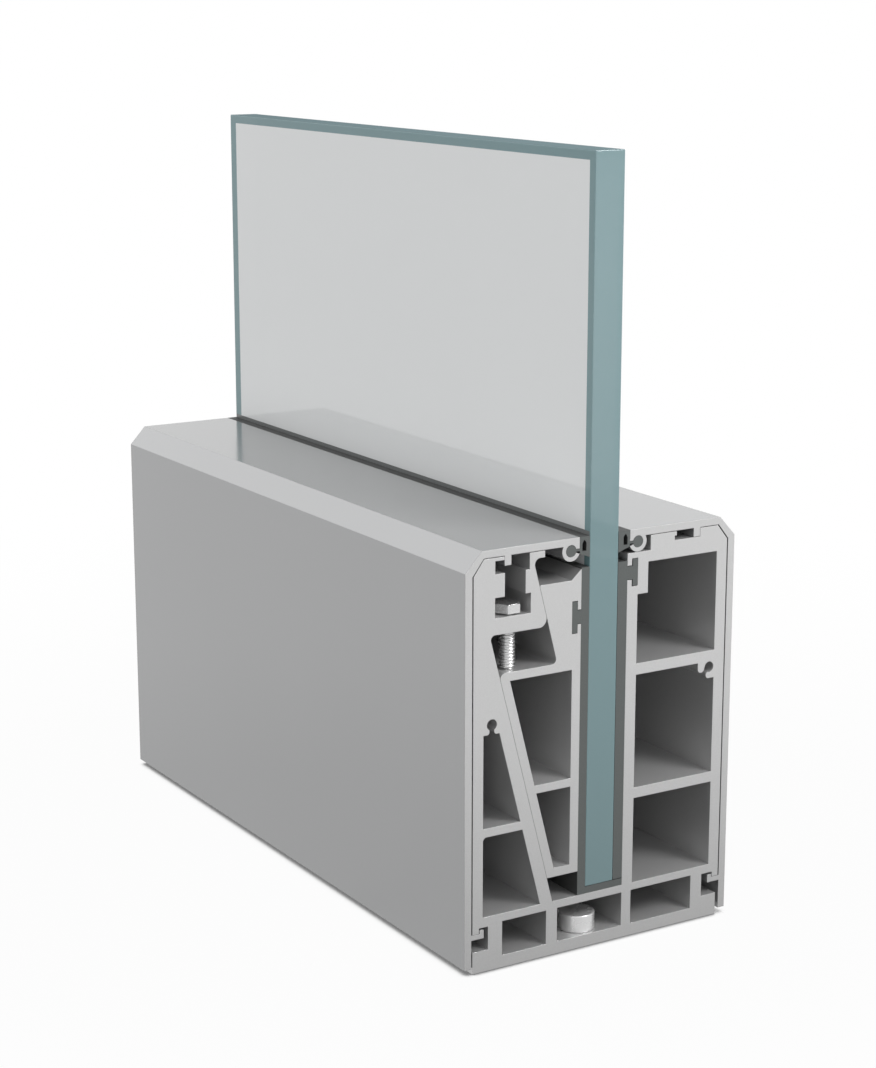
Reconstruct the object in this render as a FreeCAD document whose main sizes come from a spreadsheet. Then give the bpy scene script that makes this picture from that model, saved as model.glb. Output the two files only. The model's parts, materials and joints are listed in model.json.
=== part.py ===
import FreeCAD, Part
import math
import os

import Sketcher

document = FreeCAD.newDocument("GlassRailingBracket")

# Sizes in millimetres, measured across the section from the left cover's face and up from the foot.
# A drop is measured down from the covers' top, or from the top of the piece that it names.
SIZES = {
    "length": 268.0,
    "width": 113.0,
    "height": 150.0,
    "cover_wall": 2.8,
    "cover_roof": 2.65,
    "cover_lip": 1.55,
    "cover_leg": 2.75,
    "roof_gap": 0.25,
    "side_gap": 0.5,
    "cover_lift": 2.0,
    "chamfer_run": 6.6,
    "chamfer_drop": 7.1,
    "outer_wall": 4.1,
    "right_wall": 4.4,
    "bottom_wall": 4.5,
    "floor_top": 20.0,
    "floor_wall": 2.9,
    "foot_tall": 8.0,
    "foot_step": 0.95,
    "slot_deep": 6.35,
    "slot_lip_deep": 2.6,
    "hook_thick": 3.0,
    "hook_play": 0.15,
    "seam_foot": 36.35,
    "seam_head": 9.77,
    "seam_gap": 0.12,
    "slant_wall": 5.1,
    "upper_seam": 23.8,
    "shelf_drop": 23.9,
    "shelf_wall": 5.8,
    "glass_left": 50.25,
    "glass_thick": 12.0,
    "glass_top": 280.0,
    "setting_thick": 2.6,
    "wedge_strip": 3.3,
    "base_strip": 4.05,
    "channel_wall": 4.5,
    "channel_ledge": 5.3,
    "wall_drop": 8.3,
    "wedge_lift": 9.05,
    "wedge_drop": 14.85,
    "wedge_tip": 3.65,
    "web_drop": 43.5,
    "wedge_web": 3.1,
    "wedge_rib": 2.95,
    "wedge_rib_drop": 42.4,
    "wedge_sole": 3.25,
    "wedge_skin": 3.6,
    "wedge_spine": 3.5,
    "tee_deep": 3.7,
    "tee_lip": 1.35,
    "tee_tall": 11.6,
    "tee_mouth": 5.2,
    "tee_play": 0.2,
    "wedge_tee_drop": 13.25,
    "base_tee_drop": 7.0,
    "base_tee_tall": 10.0,
    "base_tee_lip": 1.9,
    "low_cell_tall": 31.8,
    "cell_rib": 3.9,
    "mid_cell_drop": 52.6,
    "high_cell_drop": 12.25,
    "port_radius": 2.0,
    "port_neck": 1.95,
    "port_wall": 3.4,
    "left_rib": 3.1,
    "clip_outer": 3.65,
    "clip_inner": 2.15,
    "clip_play": 0.08,
    "clip_drop": 4.5,
    "clip_inset": 3.5,
    "left_slot": 4.25,
    "right_slot": 4.95,
    "clip_mouth": 0.55,
    "seal_gap": 0.1,
    "screw_across": 19.85,
    "screw_along": 4.9,
    "screw_thread": 5.8,
    "screw_play": 0.05,
    "screw_seat": 0.4,
    "screw_point": 5.0,
    "screw_point_long": 0.9,
    "slot_half": 4.2,
    "pocket_half": 6.35,
    "pocket_side": 8.05,
    "pocket_tall": 7.1,
    "hex_across": 8.5,
    "hex_tall": 3.5,
    "hex_crown": 0.5,
    "anchor_across": 52.05,
    "anchor_along": 7.6,
    "anchor_head": 13.0,
    "anchor_tall": 6.5,
    "anchor_edge": 0.4,
    "anchor_shank": 8.0,
    "anchor_hole": 9.0,
}

# Shares of a height or a width at which the section's ribs and grooves stand.
LEFT_RIB_SHARE = 0.2901
LEFT_PORT_SHARE = 0.68794
GROOVE_START_SHARE = 0.353
GROOVE_END_SHARE = 0.734

sheet = document.addObject("Spreadsheet::Sheet", "Sheet")
for row, (alias, value) in enumerate(SIZES.items(), start=1):
    sheet.set("A%d" % row, alias)
    sheet.set("B%d" % row, "%g" % value)
    sheet.setAlias("B%d" % row, alias)
document.recompute()


class Size:
    """A length that knows its value and the sheet formula that gives it."""

    def __init__(self, value, text):
        self.value = value
        self.text = text

    def __add__(self, other):
        other = as_size(other)
        return Size(self.value + other.value, "(%s + %s)" % (self.text, other.text))

    def __radd__(self, other):
        return as_size(other) + self

    def __sub__(self, other):
        other = as_size(other)
        return Size(self.value - other.value, "(%s - %s)" % (self.text, other.text))

    def __rsub__(self, other):
        return as_size(other) - self

    def __mul__(self, other):
        other = as_size(other)
        return Size(self.value * other.value, "(%s * %s)" % (self.text, other.text))

    def __rmul__(self, other):
        return as_size(other) * self

    def __truediv__(self, other):
        other = as_size(other)
        return Size(self.value / other.value, "(%s / %s)" % (self.text, other.text))


def as_size(item):
    if isinstance(item, Size):
        return item
    return Size(float(item), "(%.6g)" % item)


def size(alias):
    return Size(SIZES[alias], "Sheet.%s" % alias)


# Lines of the section that several pieces share.
width = size("width")
length = size("length")
roof_top = size("height")
roof_under = roof_top - size("cover_roof")
base_top = roof_under - size("roof_gap")
left_skin = size("cover_wall")
base_left = left_skin + size("side_gap")
right_skin = width - size("cover_wall")
base_right = right_skin - size("side_gap")
floor_top = size("floor_top")
floor_under = floor_top - size("floor_wall")
shelf_top = roof_top - size("shelf_drop")
shelf_under = shelf_top - size("shelf_wall")
glass_left = size("glass_left")
glass_right = glass_left + size("glass_thick")
wedge_face = glass_left - size("wedge_strip")
channel_face = glass_right + size("base_strip")
channel_back = channel_face + size("channel_wall")
channel_ledge = channel_back + size("channel_ledge")
wall_top = roof_top - size("wall_drop")
cell_left = base_left + size("outer_wall")
cell_right = base_right - size("right_wall")
web_top = roof_top - size("web_drop")
glass_foot = floor_top + size("setting_thick")
wedge_bottom = floor_top + size("wedge_lift")
wedge_top = roof_top - size("wedge_drop")
clip_level = roof_top - size("clip_drop")
left_cover_end = glass_left - size("left_slot")
right_cover_end = glass_right + size("right_slot")
left_clip = left_cover_end - size("clip_inset")
right_clip = right_cover_end + size("clip_inset") - 0.1
mouth_top = clip_level + size("clip_mouth")

# Grooves in the base's top: on the left over the jack screws, on the right in the roof of the high cell.
slot_left = size("screw_across") - size("slot_half")
slot_right = size("screw_across") + size("slot_half")
slot_top = roof_top - 8.6
pocket_left = size("screw_across") - size("pocket_side")
pocket_right = size("screw_across") + size("pocket_half")
pocket_top = shelf_top + size("pocket_tall")
left_lip = slot_left - 0.2
shoulder_right = base_right - 4.25
groove_room = shoulder_right - channel_ledge
groove_left = channel_ledge + groove_room * GROOVE_START_SHARE
groove_right = channel_ledge + groove_room * GROOVE_END_SHARE
groove_floor = roof_top - 6.0

# Slots at the foot that the covers' hooks spring into.
foot_top = size("foot_tall")
foot_right = base_right - size("foot_step")
slot_roof = floor_top - 3.6
slot_edge = floor_top - 5.55

seam_slope = (size("seam_foot") - size("seam_head")) / (shelf_under - floor_top)


def seam(level, shift=0.0):
    """The slanted seam of the base at a given height."""
    return size("seam_foot") + shift + (floor_top - level) * seam_slope


def upper_seam(level, shift=0.0):
    return seam(level, size("upper_seam") + shift)


# Sketch helpers: every corner is dimensioned from the sketch's origin.

def corner_plan(corners):
    """Turn corners (across, up, radius) into lines and arcs, with the rounding worked out."""
    plan = []
    count = len(corners)
    for index, corner in enumerate(corners):
        across, up = as_size(corner[0]), as_size(corner[1])
        radius = corner[2] if len(corner) > 2 else 0.0
        if not radius:
            plan.append({"start": (across, up), "end": (across, up)})
            continue
        before = corners[index - 1]
        after = corners[(index + 1) % count]
        here = FreeCAD.Vector(across.value, up.value, 0)
        back = FreeCAD.Vector(as_size(before[0]).value, as_size(before[1]).value, 0) - here
        ahead = FreeCAD.Vector(as_size(after[0]).value, as_size(after[1]).value, 0) - here
        back.normalize()
        ahead.normalize()
        half = back.getAngle(ahead) / 2
        reach = radius / math.tan(half)
        middle = (back + ahead).normalize() * (radius / math.sin(half))
        first, last = back * reach, ahead * reach
        plan.append({
            "start": (across + first.x, up + first.y),
            "end": (across + last.x, up + last.y),
            "centre": (across + middle.x, up + middle.y),
            "along": ahead,
            "left_turn": back.cross(ahead).z < 0,
        })
    return plan


def vector(place):
    return FreeCAD.Vector(place[0].value, place[1].value, 0)


def pin(sketch, rules, formulas, geometry, point, place, axes="xy"):
    """Dimension a point of the sketch from the origin."""
    for axis, item in zip("xy", place):
        if axis not in axes:
            continue
        if abs(item.value) < 1e-9:
            rules.append(Sketcher.Constraint("PointOnObject", geometry, point, -2 if axis == "x" else -1))
            formulas.append(None)
            continue
        kind = "DistanceX" if axis == "x" else "DistanceY"
        rules.append(Sketcher.Constraint(kind, -1, 1, geometry, point, item.value))
        formulas.append(item.text if "Sheet" in item.text else None)


def finish_sketch(sketch, rules, formulas):
    sketch.addConstraint(rules)
    for index, formula in enumerate(formulas):
        if formula:
            sketch.setExpression("Constraints[%d]" % index, formula)


def new_sketch(body, name, plane):
    sketch = body.newObject("Sketcher::SketchObject", name)
    for feature in body.Origin.OriginFeatures:
        if feature.Role == plane:
            sketch.AttachmentSupport = (feature, [""])
    sketch.MapMode = "FlatFace"
    return sketch


def outline(body, name, corners, plane="XZ_Plane"):
    """Draw a closed outline of lines and rounded corners."""
    sketch = new_sketch(body, name, plane)
    plan = corner_plan(corners)
    rules, formulas, pieces = [], [], []
    for index, here in enumerate(plan):
        after = plan[(index + 1) % len(plan)]
        if "centre" in here:
            centre, first, last = vector(here["centre"]), vector(here["start"]), vector(here["end"])
            radius = (first - centre).Length
            start_angle = math.atan2(first.y - centre.y, first.x - centre.x)
            end_angle = math.atan2(last.y - centre.y, last.x - centre.x)
            circle = Part.Circle(centre, FreeCAD.Vector(0, 0, 1), radius)
            if here["left_turn"]:
                arc = Part.ArcOfCircle(circle, start_angle, end_angle)
                head, tail = 1, 2
            else:
                arc = Part.ArcOfCircle(circle, end_angle, start_angle)
                head, tail = 2, 1
            number = sketch.addGeometry(arc, False)
            pieces.append((number, head, tail))
            pin(sketch, rules, formulas, number, head, here["start"])
            pin(sketch, rules, formulas, number, 3, here["centre"])
            axes = "x" if abs(here["along"].x) > abs(here["along"].y) else "y"
            pin(sketch, rules, formulas, number, tail, here["end"], axes)
        line = Part.LineSegment(vector(here["end"]), vector(after["start"]))
        number = sketch.addGeometry(line, False)
        pieces.append((number, 1, 2))
        if "centre" not in here:
            pin(sketch, rules, formulas, number, 1, here["start"])
    for index, piece in enumerate(pieces):
        following = pieces[(index + 1) % len(pieces)]
        rules.append(Sketcher.Constraint("Coincident", piece[0], piece[2], following[0], following[1]))
        formulas.append(None)
    finish_sketch(sketch, rules, formulas)
    return sketch


def box_corners(left, right, low, high):
    return [(left, low), (right, low), (right, high), (left, high)]


def circle(body, name, across, up, radius, plane="XZ_Plane"):
    sketch = new_sketch(body, name, plane)
    across, up, radius = as_size(across), as_size(up), as_size(radius)
    round_line = Part.Circle(vector((across, up)), FreeCAD.Vector(0, 0, 1), radius.value)
    number = sketch.addGeometry(round_line, False)
    rules, formulas = [], []
    pin(sketch, rules, formulas, number, 3, (across, up))
    rules.append(Sketcher.Constraint("Radius", number, radius.value))
    formulas.append(radius.text)
    finish_sketch(sketch, rules, formulas)
    return sketch


def pad(body, sketch, depth, backwards=True):
    feature = body.newObject("PartDesign::Pad", sketch.Name + "Pad")
    feature.Profile = sketch
    feature.Length = depth.value
    feature.setExpression("Length", depth.text)
    feature.Reversed = backwards
    sketch.Visibility = False
    return feature


def cut_through(body, sketch):
    feature = body.newObject("PartDesign::Pocket", sketch.Name + "Cut")
    feature.Profile = sketch
    feature.Type = 1
    feature.Midplane = True
    sketch.Visibility = False
    return feature


def revolve(body, sketch):
    feature = body.newObject("PartDesign::Revolution", sketch.Name + "Turn")
    feature.Profile = sketch
    feature.ReferenceAxis = (sketch, ["V_Axis"])
    feature.Angle = 360.0
    sketch.Visibility = False
    return feature


def groove(body, sketch):
    """Turn an outline round the upright axis to cut it away."""
    feature = body.newObject("PartDesign::Groove", sketch.Name + "Turn")
    feature.Profile = sketch
    feature.ReferenceAxis = (sketch, ["V_Axis"])
    feature.Angle = 360.0
    sketch.Visibility = False
    return feature


def place(body, across=None, along=None, up=None):
    """Stand a body in the shared frame, whose origin is the middle of the foot."""
    x = as_size(across or 0.0) - width / 2
    y = as_size(along or 0.0) - length / 2
    z = as_size(up or 0.0)
    body.Placement = FreeCAD.Placement(FreeCAD.Vector(x.value, y.value, z.value), FreeCAD.Rotation())
    body.setExpression("Placement.Base.x", x.text)
    body.setExpression("Placement.Base.y", y.text)
    if up is not None:
        body.setExpression("Placement.Base.z", z.text)


bodies = []


def new_body(label):
    body = document.addObject("PartDesign::Body", "Body_" + label)
    body.Label = label
    bodies.append(body)
    return body


# Base profile: the U-shaped extrusion with its cells, screw channel and clip grooves.
base = new_body("base_profile")
base_tee = wall_top - size("base_tee_drop")
base_tee_back = channel_face + size("base_tee_lip")
half_mouth = size("tee_mouth") / 2
half_base_tee = size("base_tee_tall") / 2
base_corners = [
    (base_left, 0),
    (foot_right, 0),
    (foot_right, foot_top + 0.25),
    (base_right - 7.5, foot_top + 0.25),
    (base_right - 7.5, floor_top - 3.3),
    (base_right - 2.65, floor_top - 3.3),
    (base_right - 2.65, floor_top - 5.1),
    (base_right, floor_top - 5.1),
    (base_right, roof_top - 8.2),
    (shoulder_right, base_top),
    (groove_right, base_top),
    (groove_right, groove_floor),
    (groove_left, groove_floor),
    (groove_left, groove_floor + 1.6),
    (groove_left + 0.85, groove_floor + 1.6),
    (groove_left + 0.85, base_top),
    (channel_ledge, base_top),
    (channel_ledge, wall_top),
    (channel_face, wall_top),
    (channel_face, base_tee + half_mouth),
    (base_tee_back, base_tee + half_mouth),
    (base_tee_back, base_tee + half_base_tee),
    (channel_back, base_tee + half_base_tee),
    (channel_back, base_tee - half_base_tee),
    (base_tee_back, base_tee - half_base_tee),
    (base_tee_back, base_tee - half_mouth),
    (channel_face, base_tee - half_mouth),
    (channel_face, floor_top),
    (seam(floor_top), floor_top),
    (seam(shelf_under), shelf_under, 1.6),
    (upper_seam(shelf_under), shelf_under, 3.0),
    (upper_seam(roof_top - 5.2), roof_top - 5.2, 2.2),
    (slot_right + 7.75, roof_top - 5.2),
    (slot_right + 7.75, base_top),
    (slot_right + 1.6, base_top),
    (slot_right + 1.6, slot_top),
    (slot_right, slot_top),
    (slot_right, pocket_top),
    (pocket_right, pocket_top),
    (pocket_right, shelf_top),
    (pocket_left, shelf_top),
    (pocket_left, pocket_top),
    (slot_left, pocket_top),
    (slot_left, slot_top),
    (pocket_left, slot_top),
    (pocket_left, roof_top - 4.1),
    (left_lip, roof_top - 4.1),
    (left_lip, base_top),
    (base_left + 4.1, base_top),
    (base_left, roof_top - 8.5),
    (base_left, slot_edge),
    (base_left + size("slot_lip_deep"), slot_edge),
    (base_left + size("slot_lip_deep"), slot_roof),
    (base_left + size("slot_deep"), slot_roof),
    (base_left + size("slot_deep"), foot_top - 0.1),
    (base_left, foot_top - 0.1),
]
pad(base, outline(base, "BaseOutline", base_corners), length)

seam_tall = shelf_under - floor_top
left_rib_low = floor_top + seam_tall * LEFT_RIB_SHARE
left_rib_high = left_rib_low + size("left_rib")
port_level = floor_top + seam_tall * LEFT_PORT_SHARE
port_under = port_level - size("port_wall")
port_across = cell_left + size("port_wall")
neck_left = port_across - size("port_neck") / 2
neck_right = port_across + size("port_neck") / 2
slant = size("slant_wall")
low_cell_top = floor_top + size("low_cell_tall")
mid_cell_floor = low_cell_top + size("cell_rib")
mid_cell_top = roof_top - size("mid_cell_drop")
high_cell_floor = mid_cell_top + size("cell_rib") + 0.2
high_cell_top = roof_top - size("high_cell_drop")
right_port_across = cell_right - 2.2
right_port_level = mid_cell_top - size("port_radius")

base_cells = {
    "LeftLowCell": [
        (cell_left, floor_top),
        (seam(floor_top) - slant, floor_top),
        (seam(left_rib_low) - slant, left_rib_low),
        (cell_left, left_rib_low, 1.5),
    ],
    "LeftHighCell": [
        (cell_left, left_rib_high),
        (seam(left_rib_high) - slant, left_rib_high),
        (seam(port_under) - slant, port_under),
        (neck_right, port_under, 1.0),
        (neck_right, port_level - 1.0),
        (neck_left, port_level - 1.0),
        (neck_left, port_under, 1.0),
        (cell_left, port_under),
    ],
    "RightLowCell": box_corners(channel_back, cell_right, floor_top, low_cell_top),
    "RightMidCell": [
        (channel_back, mid_cell_floor),
        (cell_right, mid_cell_floor),
        (cell_right, right_port_level - 4.2),
        (cell_right - 3.55, right_port_level - 4.2, 1.2),
        (cell_right - 3.55, right_port_level - 1.7, 1.2),
        (right_port_across, right_port_level - 1.7),
        (right_port_across, right_port_level),
        (right_port_across - 2.15, right_port_level),
        (right_port_across - 2.15, right_port_level - 1.65, 1.3),
        (right_port_across - 4.95, right_port_level - 1.65, 1.3),
        (right_port_across - 4.95, mid_cell_top),
        (channel_back, mid_cell_top),
    ],
    "RightHighCell": [
        (channel_back, high_cell_floor),
        (cell_right, high_cell_floor),
        (cell_right, high_cell_top),
        (channel_back + 4.4, high_cell_top),
        (channel_back + 4.4, base_tee - 8.1),
        (channel_back, base_tee - 8.1),
    ],
    "FootLeftCell": box_corners(cell_left + 8.05, seam(floor_top) - 2.5, size("bottom_wall"), floor_under),
    "FootMidCell": box_corners(seam(floor_top) + 2.15, channel_face, size("bottom_wall"), floor_under),
    "FootRightCell": box_corners(channel_back - 0.5, base_right - 12.45, size("bottom_wall"), floor_under + 0.1),
}
for name, corners in base_cells.items():
    cut_through(base, outline(base, name, corners))
cut_through(base, circle(base, "LeftPort", port_across, port_level, size("port_radius")))
cut_through(base, circle(base, "RightPort", right_port_across, right_port_level, size("port_radius") - 0.05))

# Threaded holes of the jack screws and holes of the anchors, front and rear.
screw_rows = {"front": size("screw_along"), "rear": length - size("screw_along")}
anchor_rows = {"front": size("anchor_along"), "rear": length - size("anchor_along")}


def drill(body, name, across, along, radius, up_to):
    """Cut an upright round hole from the foot plane up to a given height."""
    sketch = circle(body, name, across, along, radius, "XY_Plane")
    feature = body.newObject("PartDesign::Pocket", name + "Cut")
    feature.Profile = sketch
    feature.Reversed = True
    feature.Length = up_to.value
    feature.setExpression("Length", up_to.text)
    sketch.Visibility = False


def drill_from(body, name, across, along, radius, low, high):
    """Cut an upright round hole between two heights."""
    sketch = circle(body, name, across, along, radius, "XY_Plane")
    sketch.AttachmentOffset = FreeCAD.Placement(FreeCAD.Vector(0, 0, low.value), FreeCAD.Rotation())
    sketch.setExpression("AttachmentOffset.Base.z", low.text)
    feature = body.newObject("PartDesign::Pocket", name + "Cut")
    feature.Profile = sketch
    feature.Reversed = True
    span = high - low
    feature.Length = span.value
    feature.setExpression("Length", span.text)
    sketch.Visibility = False


for row, along in screw_rows.items():
    drill_from(base, "ScrewHole" + row.title(), size("screw_across"), along,
               size("screw_thread") / 2 + size("screw_play"), shelf_under - 0.5, shelf_top + 0.5)
for row, along in anchor_rows.items():
    drill(base, "AnchorHole" + row.title(), size("anchor_across"), along,
          size("anchor_hole") / 2, size("bottom_wall"))
place(base)

# Clamp wedge: the loose extrusion that is driven down the slanted seam against the glass.
wedge = new_body("clamp_wedge")
gap = size("seam_gap")
tee_middle = wedge_top - size("wedge_tee_drop")
half_tee = size("tee_tall") / 2
lip_face = wedge_face - size("tee_lip")
tee_back = wedge_face - size("tee_deep")
wedge_corners = [
    (seam(wedge_bottom, gap), wedge_bottom),
    (wedge_face, wedge_bottom),
    (wedge_face, tee_middle - half_mouth),
    (lip_face, tee_middle - half_mouth),
    (lip_face, tee_middle - half_tee),
    (tee_back, tee_middle - half_tee),
    (tee_back, tee_middle + half_tee),
    (lip_face, tee_middle + half_tee),
    (lip_face, tee_middle + half_mouth),
    (wedge_face, tee_middle + half_mouth),
    (wedge_face, wedge_top + size("wedge_tip")),
    (wedge_face - 4.15, wedge_top),
    (upper_seam(wedge_top, gap), wedge_top, 0.6),
    (upper_seam(web_top, gap), web_top, 1.8),
    (seam(web_top, gap), web_top, 2.0),
]
pad(wedge, outline(wedge, "WedgeOutline", wedge_corners), length)
web_under = web_top - size("wedge_web")
rib_top = web_top - size("wedge_rib_drop")
skin = size("wedge_skin") + gap
spine = wedge_face - size("wedge_spine")
wedge_cells = {
    "WedgeHighCell": (web_under, rib_top),
    "WedgeLowCell": (rib_top - size("wedge_rib"), wedge_bottom + size("wedge_sole")),
}
for name, (high, low) in wedge_cells.items():
    corners = [(seam(low, skin), low), (spine, low), (spine, high), (seam(high, skin), high)]
    cut_through(wedge, outline(wedge, name, corners))
place(wedge)


def clip_ring(body, name, across, side):
    """Add the round clip channel under a cover's edge; side is +1 when it opens towards +X."""
    pad(body, circle(body, name + "Ring", across, clip_level, size("clip_outer")), length)
    cut_through(body, circle(body, name + "Bore", across, clip_level, size("clip_inner")))
    mouth = [
        (across + side * 1.4, mouth_top),
        (across + side * 3.5, mouth_top),
        (across + side * 3.5, clip_level + 5.5),
        (across + side * 4.4, clip_level + 5.5),
        (across + side * 4.4, clip_level - 1.7),
        (across + side * 1.4, clip_level - size("clip_mouth")),
    ]
    if side < 0:
        mouth.reverse()
    cut_through(body, outline(body, name + "Mouth", mouth))


# Left cover: snaps over the base's left side and roofs the screw channel.
left_cover = new_body("left_cover")
lift = size("cover_lift")
lip = size("cover_lip")
hook_high = slot_roof - 0.8
left_corners = [
    (0, lift),
    (left_skin, lift),
    (left_skin, hook_high - size("hook_thick") - 0.1),
    (left_skin + 5.1, hook_high - size("hook_thick") - 0.1),
    (left_skin + 5.1, hook_high),
    (left_skin + 3.4, hook_high),
    (left_skin + 3.4, slot_edge - size("hook_play")),
    (left_skin, slot_edge - size("hook_play")),
    (left_skin, roof_top - 8.5),
    (left_skin + 4.45, roof_under),
    (left_lip + 0.1, roof_under),
    (left_lip + 0.1, roof_top - 6.1),
    (left_lip + size("cover_leg"), roof_top - 6.1),
    (left_lip + size("cover_leg"), roof_under),
    (left_cover_end - lip, roof_under),
    (left_cover_end - lip, mouth_top),
    (left_cover_end, mouth_top),
    (left_cover_end, roof_top),
    (size("chamfer_run"), roof_top),
    (0, roof_top - size("chamfer_drop")),
]
pad(left_cover, outline(left_cover, "LeftCoverOutline", left_corners), length)
clip_ring(left_cover, "LeftClip", left_clip, 1)
place(left_cover)

# Right cover: snaps over the base's right side and top.
right_cover = new_body("right_cover")
right_hook_high = floor_top - 4.15
right_hook_low = right_hook_high - 2.95
right_corners = [
    (width, lift),
    (width, roof_top - size("chamfer_drop")),
    (width - size("chamfer_run"), roof_top),
    (right_cover_end, roof_top),
    (right_cover_end, mouth_top),
    (right_cover_end + lip, mouth_top),
    (right_cover_end + lip, roof_under),
    (groove_right - size("cover_leg") - 0.15, roof_under),
    (groove_right - size("cover_leg") - 0.15, groove_floor + 0.15),
    (groove_right - 0.15, groove_floor + 0.15),
    (groove_right - 0.15, roof_under),
    (shoulder_right + 0.35, roof_under),
    (right_skin, roof_top - 8.1),
    (right_skin, right_hook_high - 1.1),
    (right_skin - 3.45, right_hook_high - 1.1),
    (right_skin - 3.45, right_hook_high),
    (right_skin - 5.25, right_hook_high),
    (right_skin - 5.25, right_hook_low),
    (right_skin, right_hook_low),
    (right_skin, lift),
]
pad(right_cover, outline(right_cover, "RightCoverOutline", right_corners), length)
clip_ring(right_cover, "RightClip", right_clip, -1)
place(right_cover)

# Glass pane, standing on the setting strip.
glass = new_body("glass_pane")
glass_corners = box_corners(glass_left, glass_right, glass_foot, size("glass_top"))
pad(glass, outline(glass, "GlassOutline", glass_corners), length)
place(glass)

# Setting strip under the glass.
setting = new_body("setting_strip")
setting_corners = box_corners(wedge_face, channel_face - 0.1, floor_top, glass_foot)
pad(setting, outline(setting, "SettingOutline", setting_corners), length)
place(setting)

# Wedge gasket, anchored in the wedge by its T head.
play = size("tee_play")
mouth_fit = half_mouth - play
tee_fit = half_tee - play
gasket_top = wedge_top + 4.0
wedge_gasket = new_body("wedge_gasket")
head_left = tee_back + 0.1
head_right = lip_face - 0.1
gasket_corners = [
    (wedge_face, glass_foot),
    (glass_left, glass_foot),
    (glass_left, gasket_top),
    (wedge_face, gasket_top),
    (wedge_face, tee_middle + mouth_fit),
    (head_right, tee_middle + mouth_fit),
    (head_right, tee_middle + tee_fit),
    (head_left, tee_middle + tee_fit),
    (head_left, tee_middle - tee_fit),
    (head_right, tee_middle - tee_fit),
    (head_right, tee_middle - mouth_fit),
    (wedge_face, tee_middle - mouth_fit),
]
pad(wedge_gasket, outline(wedge_gasket, "WedgeGasketOutline", gasket_corners), length)
place(wedge_gasket)

# Base gasket, anchored in the base's right channel wall.
base_gasket = new_body("base_gasket")
base_head_left = base_tee_back + 0.4
base_head_right = channel_back - 0.1
base_tee_fit = half_base_tee - play
base_gasket_corners = [
    (glass_right, glass_foot + 0.25),
    (channel_face, glass_foot + 0.25),
    (channel_face, base_tee - mouth_fit),
    (base_head_left, base_tee - mouth_fit),
    (base_head_left, base_tee - base_tee_fit),
    (base_head_right, base_tee - base_tee_fit),
    (base_head_right, base_tee + base_tee_fit),
    (base_head_left, base_tee + base_tee_fit),
    (base_head_left, base_tee + mouth_fit),
    (channel_face, base_tee + mouth_fit),
    (channel_face, gasket_top),
    (glass_right, gasket_top),
]
pad(base_gasket, outline(base_gasket, "BaseGasketOutline", base_gasket_corners), length)
place(base_gasket)


def top_seal(label, clip_across, cover_end, glass_face, side):
    """The bulb seal that closes the slot beside the glass; side is +1 when the glass is towards +X."""
    body = new_body(label)
    back = cover_end + side * size("seal_gap")
    corners = [
        (back, clip_level - 0.4),
        (back, clip_level - 1.3),
        (glass_face, clip_level - 3.0),
        (glass_face, roof_top),
        (back, roof_top),
        (back, clip_level + 0.4),
        (clip_across + side * 1.0, clip_level + 0.4),
        (clip_across + side * 1.0, clip_level - 0.4),
    ]
    slit = [
        (back + side * 1.0, clip_level - 0.55),
        (back + side * 2.7, clip_level - 0.55),
        (back + side * 2.7, clip_level + 2.3),
        (back + side * 2.1, clip_level + 3.2),
        (back + side * 1.6, clip_level + 3.2),
        (back + side * 1.0, clip_level + 2.0),
    ]
    if side < 0:
        corners.reverse()
        slit.reverse()
    stem = body.Label.title().replace("_", "")
    pad(body, outline(body, stem + "Outline", corners), length)
    foot_radius = size("clip_inner") - size("clip_play")
    pad(body, circle(body, stem + "Foot", clip_across, clip_level, foot_radius), length)
    cut_through(body, outline(body, stem + "Slit", slit))
    place(body)


top_seal("left_top_seal", left_clip, left_cover_end, glass_left, 1)
top_seal("right_top_seal", right_clip, right_cover_end, glass_right, -1)


def jack_screw(label, along):
    """Hexagon-head jack screw, its own origin at the point that presses on the wedge."""
    body = new_body(label)
    radius = size("screw_thread") / 2
    point = size("screw_point") / 2
    long = shelf_top - web_top + size("screw_seat")
    shank = [
        (0, 0),
        (point, 0),
        (radius, size("screw_point_long")),
        (radius, long),
        (0, long),
    ]
    revolve(body, outline(body, "Shank_" + label, shank))
    reach = size("hex_across") / 2
    side = reach * 0.57735
    sketch = new_sketch(body, "Hex_" + label, "XY_Plane")
    spots = [(-1, -1), (1, -1), (2, 0), (1, 1), (-1, 1), (-2, 0)]
    points = [FreeCAD.Vector(a * side.value, b * reach.value, 0) for a, b in spots]
    for index, spot in enumerate(points):
        sketch.addGeometry(Part.LineSegment(spot, points[(index + 1) % 6]), False)
    rules = [Sketcher.Constraint("Coincident", i, 2, (i + 1) % 6, 1) for i in range(6)]
    rules += [Sketcher.Constraint("Horizontal", 0), Sketcher.Constraint("Horizontal", 3)]
    rules += [Sketcher.Constraint("Equal", 0, i) for i in range(1, 5)]
    rules += [Sketcher.Constraint("Symmetric", 0, 1, 3, 1, -1, 1)]
    rules += [Sketcher.Constraint("DistanceY", 0, 1, 3, 1, 2 * reach.value)]
    sketch.addConstraint(rules)
    sketch.setExpression("Constraints[%d]" % (len(rules) - 1), "Sheet.hex_across")
    sketch.AttachmentOffset = FreeCAD.Placement(FreeCAD.Vector(0, 0, long.value), FreeCAD.Rotation())
    sketch.setExpression("AttachmentOffset.Base.z", long.text)
    pad(body, sketch, size("hex_tall"), backwards=False)
    crown = size("hex_crown")
    corner = reach * 1.1547
    top = long + size("hex_tall")
    crown_cut = [(reach, top), (corner + crown, top), (corner + crown, top - crown), (corner, top - crown)]
    groove(body, outline(body, "Crown_" + label, crown_cut))
    place(body, size("screw_across"), along, web_top)


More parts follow.
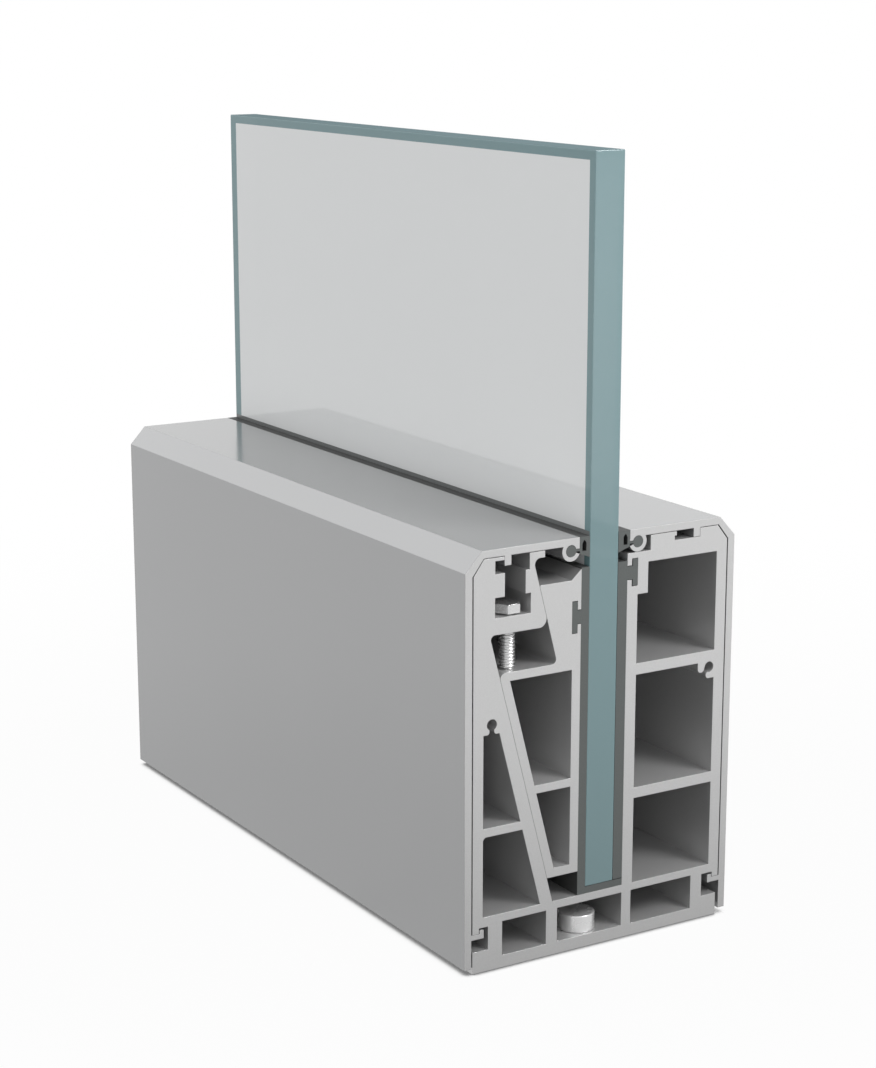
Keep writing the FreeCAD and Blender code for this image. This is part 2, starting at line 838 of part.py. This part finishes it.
def anchor_bolt(label, along):
    """Cylinder-head anchor bolt, its shank ending flush with the foot."""
    body = new_body(label)
    shank = size("anchor_shank") / 2
    head = size("anchor_head") / 2
    low = size("bottom_wall")
    high = low + size("anchor_tall")
    profile = [
        (0, 0),
        (shank, 0),
        (shank, low),
        (head, low),
        (head, high - size("anchor_edge")),
        (head - size("anchor_edge"), high),
        (0, high),
    ]
    revolve(body, outline(body, "Turned_" + label, profile))
    place(body, size("anchor_across"), along)


for row, along in screw_rows.items():
    jack_screw("jack_screw_" + row, along)
for row, along in anchor_rows.items():
    anchor_bolt("anchor_bolt_" + row, along)

document.recompute()

# Everything has to be whole before it is written.
for item in document.Objects:
    if "Invalid" in item.State or "Error" in item.State:
        raise RuntimeError("broken: " + item.Name)
for body in bodies:
    if body.Shape.isNull() or not body.Shape.isValid() or len(body.Shape.Solids) != 1:
        raise RuntimeError("bad solid: " + body.Label)

os.makedirs("parts", exist_ok=True)
for body in bodies:
    body.Shape.exportStep("parts/%s.step" % body.Label)
    print(body.Label, "%.1f" % body.Shape.Volume)
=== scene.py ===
import json
import math

import bmesh
import bpy
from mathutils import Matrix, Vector


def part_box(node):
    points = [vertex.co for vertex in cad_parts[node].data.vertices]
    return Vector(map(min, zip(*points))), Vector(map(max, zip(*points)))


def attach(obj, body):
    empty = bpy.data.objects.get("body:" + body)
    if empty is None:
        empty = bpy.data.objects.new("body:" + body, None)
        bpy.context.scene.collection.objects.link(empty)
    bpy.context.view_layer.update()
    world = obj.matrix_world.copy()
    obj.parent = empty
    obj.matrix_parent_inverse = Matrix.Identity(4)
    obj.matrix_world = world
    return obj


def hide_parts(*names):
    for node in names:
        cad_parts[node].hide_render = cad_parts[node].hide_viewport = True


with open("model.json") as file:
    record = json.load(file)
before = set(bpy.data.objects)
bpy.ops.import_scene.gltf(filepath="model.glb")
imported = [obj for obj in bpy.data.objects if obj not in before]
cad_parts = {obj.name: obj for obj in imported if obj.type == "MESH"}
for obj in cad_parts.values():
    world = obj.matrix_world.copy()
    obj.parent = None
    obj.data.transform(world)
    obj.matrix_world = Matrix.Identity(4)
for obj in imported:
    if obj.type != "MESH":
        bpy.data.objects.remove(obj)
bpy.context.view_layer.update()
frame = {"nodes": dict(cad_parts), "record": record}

scene = bpy.context.scene
nodes = frame["nodes"]
MM = 0.001


# Node trees

class Tree:
    """A material's or a world's nodes, with short calls for what the finishes use."""

    def __init__(self, owner):
        owner.use_nodes = True
        self.nodes = owner.node_tree.nodes
        self.links = owner.node_tree.links
        self.nodes.clear()

    def add(self, kind, **sockets):
        node = self.nodes.new(kind)
        for name, value in sockets.items():
            self.feed(node.inputs[name.replace("_", " ")], value)
        return node

    def feed(self, socket, value):
        if isinstance(value, bpy.types.NodeSocket):
            self.links.new(value, socket)
        else:
            socket.default_value = value

    def math(self, operation, first, second=0.0):
        node = self.nodes.new("ShaderNodeMath")
        node.operation = operation
        self.feed(node.inputs[0], first)
        self.feed(node.inputs[1], second)
        return node.outputs[0]

    def ramp(self, value, low, high, to_low, to_high):
        """Map a value from one span to another, held at both ends."""
        node = self.add("ShaderNodeMapRange", Value=value)
        span = {"From Min": low, "From Max": high, "To Min": to_low, "To Max": to_high}
        for name, number in span.items():
            node.inputs[name].default_value = number
        return node.outputs["Result"]

    def blend(self, factor, first, second):
        """Mix two colours."""
        node = self.nodes.new("ShaderNodeMix")
        node.data_type = "RGBA"
        self.feed(node.inputs["Factor"], factor)
        self.feed(node.inputs[6], first)
        self.feed(node.inputs[7], second)
        return node.outputs[2]

    def place(self):
        return self.nodes.new("ShaderNodeTexCoord").outputs["Object"]

    def noise(self, scale, detail):
        """Noise over the object's own coordinates, in features per metre."""
        node = self.nodes.new("ShaderNodeTexNoise")
        node.inputs["Scale"].default_value = scale
        node.inputs["Detail"].default_value = detail
        self.links.new(self.place(), node.inputs["Vector"])
        return node.outputs["Fac"]

    def facing(self, axis):
        """1 where the surface faces along an axis of the object, 0 elsewhere."""
        normal = self.nodes.new("ShaderNodeNewGeometry").outputs["True Normal"]
        parts = self.add("ShaderNodeSeparateXYZ", Vector=normal)
        return self.ramp(self.math("ABSOLUTE", parts.outputs[axis]), 0.7, 0.9, 0.0, 1.0)

    def bump(self, height, distance, strength, normal=None):
        """Small relief, in metres, over a given normal."""
        node = self.add("ShaderNodeBump", Height=height)
        node.inputs["Strength"].default_value = strength
        node.inputs["Distance"].default_value = distance
        if normal is not None:
            self.feed(node.inputs["Normal"], normal)
        return node.outputs["Normal"]

    def eased_edges(self, radius):
        """Round the light on sharp edges, as a deburred edge does."""
        node = self.nodes.new("ShaderNodeBevel")
        node.samples = 4
        node.inputs["Radius"].default_value = radius
        return node.outputs["Normal"]

    def surface(self, shader):
        out = self.nodes.new("ShaderNodeOutputMaterial")
        self.links.new(shader, out.inputs["Surface"])


def new_material(name):
    material = bpy.data.materials.new(name)
    return material, Tree(material)


def grey(value):
    return (value, value, value, 1.0)


# Finishes

ALONG = "Y"
SAWN_GRAIN = 3200.0
SAWN_RELIEF = 0.000006
# Height over which painted shade darkens the sawn ends toward the foot.
PAINTED_SHADE_UP_TO = 0.09


def sawn_end_with_painted_shade(tree, grain):
    """The pale tone of a sawn end, with painted shade that darkens it toward the foot."""
    height = tree.add("ShaderNodeSeparateXYZ", Vector=tree.place()).outputs["Z"]
    fleck = tree.ramp(grain, 0.3, 0.7, 0.0, 1.0)
    pale = tree.blend(fleck, grey(0.54), grey(0.60))
    # Painted shade: a darker copy of the sawn-end tone, taking over toward the foot.
    painted_shade_end = tree.blend(fleck, grey(0.45), grey(0.51))
    return tree.blend(tree.ramp(height, 0.0, PAINTED_SHADE_UP_TO, 0.0, 1.0), painted_shade_end, pale)


def covers_finish():
    """Satin anodised skin and a fine sawn end."""
    material, tree = new_material("anodised_aluminium")
    cut = tree.facing(ALONG)
    grain = tree.noise(SAWN_GRAIN, 3.0)
    cloud = tree.noise(9.0, 2.0)
    skin = tree.blend(cloud, (0.400, 0.404, 0.407, 1), (0.418, 0.422, 0.425, 1))
    end = sawn_end_with_painted_shade(tree, grain)
    shader = tree.add("ShaderNodeBsdfPrincipled", Metallic=tree.ramp(cut, 0.0, 1.0, 0.6, 0.25))
    shader.inputs["Specular IOR Level"].default_value = 0.25
    tree.feed(shader.inputs["Base Color"], tree.blend(cut, skin, end))
    tree.feed(shader.inputs["Roughness"], tree.ramp(cut, 0.0, 1.0, 0.16, 0.42))
    tree.feed(shader.inputs["Normal"], tree.bump(grain, SAWN_RELIEF, 0.5, tree.eased_edges(0.25 * MM)))
    tree.surface(shader.outputs[0])
    return material


def profile_finish():
    """Mill-finish extrusion: pale sawn ends and smooth, darker walls."""
    material, tree = new_material("mill_aluminium")
    cut = tree.facing(ALONG)
    grain = tree.noise(SAWN_GRAIN, 3.0)
    wall = tree.blend(tree.noise(12.0, 2.0), grey(0.61), grey(0.65))
    end = sawn_end_with_painted_shade(tree, grain)
    shader = tree.add("ShaderNodeBsdfPrincipled", Metallic=tree.ramp(cut, 0.0, 1.0, 0.6, 0.25))
    tree.feed(shader.inputs["Base Color"], tree.blend(cut, wall, end))
    tree.feed(shader.inputs["Roughness"], tree.ramp(cut, 0.0, 1.0, 0.2, 0.45))
    tree.feed(shader.inputs["Normal"], tree.bump(grain, SAWN_RELIEF, 0.5, tree.eased_edges(0.2 * MM)))
    tree.surface(shader.outputs[0])
    return material


def rubber_finish():
    """Matte rubber with a faint bloom, lighter where it is cut through."""
    material, tree = new_material("gasket_rubber")
    cut = tree.facing(ALONG)
    grain = tree.noise(2200.0, 3.0)
    skin = tree.blend(grain, (0.035, 0.037, 0.036, 1), (0.06, 0.062, 0.061, 1))
    end = tree.blend(grain, (0.085, 0.094, 0.092, 1), (0.115, 0.124, 0.121, 1))
    shader = tree.add("ShaderNodeBsdfPrincipled", Roughness=0.6)
    tree.feed(shader.inputs["Base Color"], tree.blend(cut, skin, end))
    tree.feed(shader.inputs["Normal"], tree.bump(grain, 0.02 * MM, 0.6))
    tree.surface(shader.outputs[0])
    return material


def turned_finish(name, swirl):
    """Turned steel, whose light runs up and down across the turning marks of its side."""
    material, tree = new_material(name)
    grain = tree.noise(150.0, 2.0)
    upright = tree.nodes.new("ShaderNodeVectorMath")
    upright.operation = "PROJECT"
    upright.inputs[0].default_value = (0, 0, 1)
    tree.links.new(tree.nodes.new("ShaderNodeNewGeometry").outputs["Normal"], upright.inputs[1])
    along = tree.nodes.new("ShaderNodeVectorMath")
    along.operation = "SUBTRACT"
    along.inputs[0].default_value = (0.001, 0, 1)
    tree.links.new(upright.outputs[0], along.inputs[1])
    shader = tree.add("ShaderNodeBsdfPrincipled", Metallic=0.6, Anisotropic=swirl)
    tree.feed(shader.inputs["Base Color"], tree.blend(grain, grey(0.68), grey(0.72)))
    tree.feed(shader.inputs["Roughness"], tree.ramp(grain, 0.3, 0.7, 0.26, 0.3))
    tree.feed(shader.inputs["Tangent"], along.outputs[0])
    tree.surface(shader.outputs[0])
    return material


def steel_finish():
    """Bright zinc-plated steel."""
    material, tree = new_material("bright_steel")
    grain = tree.noise(1500.0, 3.0)
    shader = tree.add("ShaderNodeBsdfPrincipled", Metallic=0.9)
    tree.feed(shader.inputs["Base Color"], tree.blend(grain, grey(0.58), grey(0.70)))
    tree.feed(shader.inputs["Roughness"], tree.ramp(grain, 0.3, 0.7, 0.16, 0.26))
    tree.feed(shader.inputs["Normal"], tree.bump(grain, 0.01 * MM, 0.4, tree.eased_edges(0.15 * MM)))
    tree.surface(shader.outputs[0])
    return material


def glass_finish(name, low, high, alpha, bending, shine):
    """Tinted glass that light passes straight through, between two tints, with a polished surface."""
    material, tree = new_material(name)
    cloud = tree.noise(14.0, 2.0)
    shader = tree.add("ShaderNodeBsdfPrincipled", Roughness=0.04, Alpha=alpha, IOR=bending)
    shader.inputs["Specular IOR Level"].default_value = shine
    tree.feed(shader.inputs["Base Color"], tree.blend(cloud, low, high))
    tree.surface(shader.outputs[0])
    return material


FINISHES = {
    "anodised_aluminium": covers_finish(),
    "mill_aluminium": profile_finish(),
    "gasket_rubber": rubber_finish(),
    "bright_steel": steel_finish(),
}
TURNED = turned_finish("bright_steel_turned", 0.6)
FACED = turned_finish("bright_steel_faced", 0.0)
node_slot = {part["node"]: part["material_slot"] for part in frame["record"]["subparts"]}
for name, item in nodes.items():
    finish = FINISHES.get(node_slot[name])
    if finish is None:
        continue
    item.data.materials.clear()
    item.data.materials.append(finish)


# Pieces that stand for plain solids

def piece(name, mesh_source, body, replaced):
    """Put a finished bmesh in the scene, on its body and in place of its solid."""
    mesh = bpy.data.meshes.new(name)
    mesh_source.to_mesh(mesh)
    mesh_source.free()
    item = bpy.data.objects.new(name, mesh)
    scene.collection.objects.link(item)
    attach(item, body)
    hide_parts(replaced)
    return item


# The border of the pane's faces, how much wider it is at the far end, the ground arris,
# and how far over the covers' top the far seal shows through the thickness of the glass.
GLASS_BORDER = 4.2 * MM
GLASS_BORDER_FAR = 1.8 * MM
GLASS_ARRIS = 0.3 * MM
SEAL_SEEN = 1.5 * MM

# The pane's materials: name, two tints, opacity, index of refraction and shine.
FACE, END, BORDER, RIM, OVER_SEAL = range(5)
GLASSES = (
    ("clear_glass", (0.955, 0.975, 0.98, 1), (0.97, 0.99, 0.995, 1), 0.94, 1.9, 0.5),
    ("glass_edge", (0.225, 0.345, 0.365, 1), (0.24, 0.36, 0.38, 1), 0.8, 1.45, 0.5),
    ("glass_border", (0.215, 0.36, 0.385, 1), (0.225, 0.37, 0.395, 1), 0.9, 1.45, 0.5),
    ("glass_rim", (0.165, 0.23, 0.245, 1), (0.175, 0.24, 0.255, 1), 0.97, 1.45, 0.0),
    ("glass_over_seal", (0.225, 0.235, 0.235, 1), (0.235, 0.245, 0.245, 1), 0.97, 1.45, 0.5),
)


def pane_part(face):
    """Which of the pane's materials a face takes before its broad middle is set."""
    if abs(face.normal.y) > 0.7:
        return END
    return RIM if abs(face.normal.z) > 0.7 else BORDER


def glass_pane():
    """The pane with ground arrises and a teal border where its edges show through its faces."""
    low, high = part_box("glass_pane")
    work = bmesh.new()
    bmesh.ops.create_cube(work, size=1.0)
    for vertex in work.verts:
        vertex.co = Vector(low[axis] if vertex.co[axis] < 0 else high[axis] for axis in range(3))
    bmesh.ops.bevel(work, geom=list(work.edges), offset=GLASS_ARRIS, segments=2,
                    affect="EDGES", profile=0.5)
    work.faces.ensure_lookup_table()
    broad = [face for face in work.faces if abs(face.normal.x) > 0.99 and face.calc_area() > 0.01]
    bmesh.ops.inset_individual(work, faces=broad, thickness=GLASS_BORDER)
    for face in work.faces:
        face.material_index = pane_part(face)
    for face in broad:
        face.material_index = FACE
        for vertex in face.verts:
            if vertex.co.y > 0:
                vertex.co.y -= GLASS_BORDER_FAR
    cover_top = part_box("left_cover")[1][2]
    for level in (cover_top, cover_top + SEAL_SEEN):
        bmesh.ops.bisect_plane(work, geom=work.verts[:] + work.edges[:] + work.faces[:],
                               plane_co=(0, 0, level), plane_no=(0, 0, 1))
    for face in work.faces:
        over = face.calc_center_median().z - cover_top
        if abs(face.normal.x) > 0.99 and 0 < over < SEAL_SEEN:
            face.material_index = OVER_SEAL
    item = piece("glass_pane_polished", work, "channel", "glass_pane")
    for glass in GLASSES:
        item.data.materials.append(glass_finish(*glass))


glass_pane()


def lathe(work, centre, rows, steps=48):
    """Stack rings round an upright axis; a row is (height, reach) or a function of the angle."""
    rings = []
    for row in rows:
        ring = []
        for step in range(steps):
            angle = 2 * math.pi * step / steps
            height, reach = row(angle) if callable(row) else row
            spot = (centre.x + reach * math.cos(angle), centre.y + reach * math.sin(angle), height)
            ring.append(work.verts.new(spot))
        rings.append(ring)
    work.faces.new(reversed(rings[0]))
    for low, high in zip(rings, rings[1:]):
        for step in range(steps):
            after = (step + 1) % steps
            work.faces.new((low[step], low[after], high[after], high[step]))
    work.faces.new(rings[-1])


THREAD_PITCH, THREAD_DEEP, THREAD_CREST = 1.2 * MM, 0.5 * MM, 2.9 * MM
RINGS_A_TURN = 8
POINT_REACH, POINT_SHARE, POINT_LONG = 1.9 * MM, 0.72, 2.2 * MM
HEX_HALF, HEX_TALL, HEX_EASE = 4.25 * MM, 3.5 * MM, 0.15 * MM
CROWN_REACH, CROWN_SLOPE = 4.0 * MM, 0.5
ANCHOR_TALL, ANCHOR_REACH, ANCHOR_SHANK = 6.5 * MM, 6.5 * MM, 4.0 * MM
ANCHOR_RIM, ANCHOR_EASE = 0.55 * MM, 0.3 * MM
RIM_STEPS = 5


def hex_reach(angle):
    """The distance from a hexagon's middle to its edge, with two corners across the channel."""
    return HEX_HALF / math.cos(angle % (math.pi / 3) - math.pi / 6)


def thread_row(height, taper):
    """One ring of a cut thread, whose crest climbs with the angle."""
    def row(angle):
        wave = abs((height / THREAD_PITCH - angle / (2 * math.pi)) % 1.0 - 0.5) * 2
        crest = min(1.0, max(0.0, wave * 1.3 - 0.15))
        return height, (THREAD_CREST - THREAD_DEEP * (1 - crest)) * taper
    return row


def head_row(top, blend):
    """One ring of the head's crown, from the flats' upper edge at 0 to the top face at 1."""
    def row(angle):
        reach = hex_reach(angle) * (1 - blend) + CROWN_REACH * blend
        return top - (reach - CROWN_REACH) * CROWN_SLOPE, reach
    return row


def jack_screw(name, body):
    """Jack screw with a cut thread and a crowned hexagon head."""
    low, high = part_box(name)
    seat = high.z - HEX_TALL
    count = round((seat - low.z) / THREAD_PITCH * RINGS_A_TURN)
    rows = [(low.z, POINT_REACH)]
    for index in range(count):
        height = low.z + (seat - low.z) * (index + 0.5) / count
        taper = min(1.0, POINT_SHARE + (height - low.z) / POINT_LONG)
        rows.append(thread_row(height, taper))
    rows.append((seat, THREAD_CREST))
    rows.append(lambda angle: (seat, hex_reach(angle) - HEX_EASE))
    rows.append(lambda angle: (seat + HEX_EASE, hex_reach(angle)))
    rows += [head_row(high.z, 0.0), head_row(high.z, 1.0)]
    work = bmesh.new()
    lathe(work, (Vector(low) + Vector(high)) / 2, rows)
    for face in work.faces:
        face.smooth = face.calc_center_median().z < seat
    item = piece(name + "_threaded", work, body, name)
    item.data.materials.append(FINISHES["bright_steel"])


def anchor_bolt(name):
    """Anchor bolt with a rounded rim on its cylinder head."""
    low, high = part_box(name)
    seat, rim_foot = high.z - ANCHOR_TALL, high.z - ANCHOR_RIM
    rows = [(low.z, ANCHOR_SHANK), (seat, ANCHOR_SHANK), (seat, ANCHOR_REACH - ANCHOR_EASE),
            (seat + ANCHOR_EASE, ANCHOR_REACH), (seat + 2 * ANCHOR_EASE, ANCHOR_REACH),
            (rim_foot - ANCHOR_EASE, ANCHOR_REACH)]
    for step in range(RIM_STEPS + 1):
        turn = math.pi / 2 * step / RIM_STEPS
        rows.append((rim_foot + ANCHOR_RIM * math.sin(turn),
                     ANCHOR_REACH - ANCHOR_RIM + ANCHOR_RIM * math.cos(turn)))
    work = bmesh.new()
    lathe(work, (Vector(low) + Vector(high)) / 2, rows, 96)
    for face in work.faces:
        face.smooth = abs(face.normal.z) < 0.98 and len(face.verts) == 4
        face.material_index = 0 if abs(face.normal.z) < 0.5 else 1
    item = piece(name + "_turned", work, "channel", name)
    item.data.materials.append(TURNED)
    item.data.materials.append(FACED)


jack_screw("jack_screw_front", "front_jack")
jack_screw("jack_screw_rear", "rear_jack")
anchor_bolt("anchor_bolt_front")
anchor_bolt("anchor_bolt_rear")


# Floor, light and camera

FLOOR_HALF = 6.0
FLOOR_DROP = 0.2 * MM
# Reach of the ambient occlusion that paints a contact shadow on the floor.
PAINTED_CONTACT_SHADE_REACH = 3 * MM


def studio_floor():
    """A white floor that fades into the background and keeps a soft shadow near the object, cast by
    the lamps on its paint; near the object its paint is also darker, its glow dims and ambient
    occlusion draws a contact line, all painted shade.
    """
    mesh = bpy.data.meshes.new("floor")
    corners = [(-FLOOR_HALF, -FLOOR_HALF, 0), (FLOOR_HALF, -FLOOR_HALF, 0),
               (FLOOR_HALF, FLOOR_HALF, 0), (-FLOOR_HALF, FLOOR_HALF, 0)]
    mesh.from_pydata(corners, [], [(0, 1, 2, 3)])
    floor = bpy.data.objects.new("floor", mesh)
    floor.location.z = -FLOOR_DROP
    scene.collection.objects.link(floor)
    material, tree = new_material("floor")
    light_path = tree.nodes.new("ShaderNodeLightPath").outputs
    mirrored = tree.math("MAXIMUM", light_path["Is Glossy Ray"], light_path["Is Transmission Ray"])
    away = tree.nodes.new("ShaderNodeVectorMath")
    away.operation = "LENGTH"
    tree.links.new(tree.place(), away.inputs[0])
    distance = away.outputs["Value"]
    # Painted contact shadow: where the object is near, the floor's white glow gives way to its dark
    # paint.
    painted_contact_shade = tree.add("ShaderNodeAmbientOcclusion", Distance=PAINTED_CONTACT_SHADE_REACH)
    painted_contact_shade.samples = 8
    clear_of_painted_contact_shade = tree.ramp(painted_contact_shade.outputs["AO"], 0.45, 0.85, 0.15, 1.0)
    # Painted shade: the glow seen directly dims a little near the object.
    bright = tree.math("MULTIPLY", tree.ramp(distance, 0.2, 0.6, 0.975, 1.0), clear_of_painted_contact_shade)
    in_view = tree.math("MULTIPLY", light_path["Is Camera Ray"], bright)
    # Painted shade in reflections: mirrored rays see the floor's glow a little darker near the object.
    mirrored_with_painted_shade = tree.math("MULTIPLY", mirrored, tree.ramp(distance, 0.14, 0.35, 0.93, 1.0))
    # Painted shade: the floor's paint is dark near the object and paler farther out, which also dims
    # the light it bounces onto the object.
    painted_shade_near = tree.ramp(distance, 0.15, 0.6, 0.05, 0.6)
    paint = tree.add("ShaderNodeBsdfDiffuse", Color=painted_shade_near)
    white = tree.add("ShaderNodeEmission", Color=grey(1.0))
    mix = tree.add("ShaderNodeMixShader", Fac=tree.math("MAXIMUM", in_view, mirrored_with_painted_shade))
    tree.links.new(paint.outputs[0], mix.inputs[1])
    tree.links.new(white.outputs[0], mix.inputs[2])
    tree.surface(mix.outputs[0])
    floor.data.materials.append(material)


WORLD_LIGHT = 0.7


def studio_world():
    """White where it is seen or mirrored, and a soft grey light elsewhere."""
    world = bpy.data.worlds.new("studio")
    scene.world = world
    tree = Tree(world)
    light_path = tree.nodes.new("ShaderNodeLightPath").outputs
    seen = tree.math("MAXIMUM", light_path["Is Camera Ray"], light_path["Is Glossy Ray"])
    seen = tree.math("MAXIMUM", seen, light_path["Is Transmission Ray"])
    strength = tree.ramp(seen, 0.0, 1.0, WORLD_LIGHT, 1.0)
    background = tree.add("ShaderNodeBackground", Color=grey(1.0), Strength=strength)
    out = tree.nodes.new("ShaderNodeOutputWorld")
    tree.links.new(background.outputs[0], out.inputs["Surface"])


def softbox(name, spot, aim, size, power):
    """A soft rectangular light, in watts, turned toward a point."""
    light = bpy.data.lights.new(name, "AREA")
    light.shape = "RECTANGLE"
    light.size, light.size_y = size
    light.energy = power
    item = bpy.data.objects.new(name, light)
    item.location = spot
    item.rotation_euler = (Vector(aim) - Vector(spot)).to_track_quat("-Z", "Y").to_euler()
    scene.collection.objects.link(item)


CAMERA_TURN, CAMERA_RISE = -31.480, 13.076
CAMERA_SPOT = (-0.45593, -0.76900, 0.33092)
CAMERA_LENS, CAMERA_FILM = 78.759, 36.0


def camera():
    """The photograph's viewing angle, found from the vanishing points of the channel."""
    data = bpy.data.cameras.new("camera")
    data.sensor_fit = "VERTICAL"
    data.sensor_height = CAMERA_FILM
    data.lens = CAMERA_LENS
    item = bpy.data.objects.new("camera", data)
    item.location = CAMERA_SPOT
    item.rotation_euler = (math.radians(90 - CAMERA_RISE), 0, math.radians(CAMERA_TURN))
    scene.collection.objects.link(item)
    scene.camera = item


studio_floor()
studio_world()
softbox("top_light", (0.1, -0.2, 1.6), (0, 0, 0.1), (1.2, 1.2), 3.15)
softbox("front_light", (0.4, -0.75, 0.78), (0, -0.13, 0.1), (0.4, 0.4), 6.5)
softbox("back_light", (-0.5, 1.7, 1.1), (0, 0, 0.14), (1.0, 1.0), 1.7)
camera()
scene.view_settings.view_transform = "Standard"
